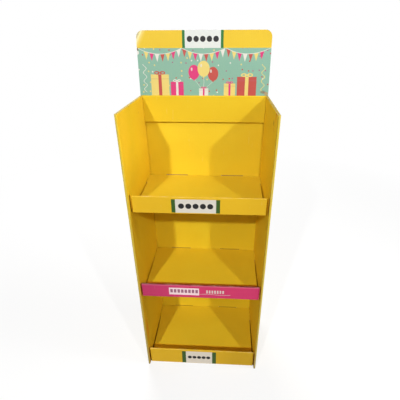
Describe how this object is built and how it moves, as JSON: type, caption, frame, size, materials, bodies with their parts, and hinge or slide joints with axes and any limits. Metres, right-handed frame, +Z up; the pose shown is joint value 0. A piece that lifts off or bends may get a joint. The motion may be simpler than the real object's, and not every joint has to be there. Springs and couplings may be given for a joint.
{
  "type": "cardboard display stand",
  "caption": "Floor-standing corrugated display: an open-fronted double-walled body with deep shelf trays that hook into it and a rounded header card slotted in on top.",
  "frame": {"origin": "on the floor, at the middle of the overall width and depth", "axes": "+Z up, the open front faces -Y, +X to the right as seen from the front"},
  "size_m": [0.5, 0.3614, 1.3855],
  "materials": {
    "shell_board": "yellow printed corrugated board, satin, kraft at the cut edges",
    "tray_board": "yellow printed corrugated board with a plain white label field on the lip",
    "middle_tray_board": "yellow printed corrugated board with a magenta lip",
    "header_board": "litho-printed corrugated board, yellow band over a sea-green field"
  },
  "bodies": {
    "root": {"outer_shell": "shell_board", "bottom_tray": "tray_board", "middle_tray": "middle_tray_board", "top_tray": "tray_board", "header_card": "header_board"}
  },
  "joints": []
}
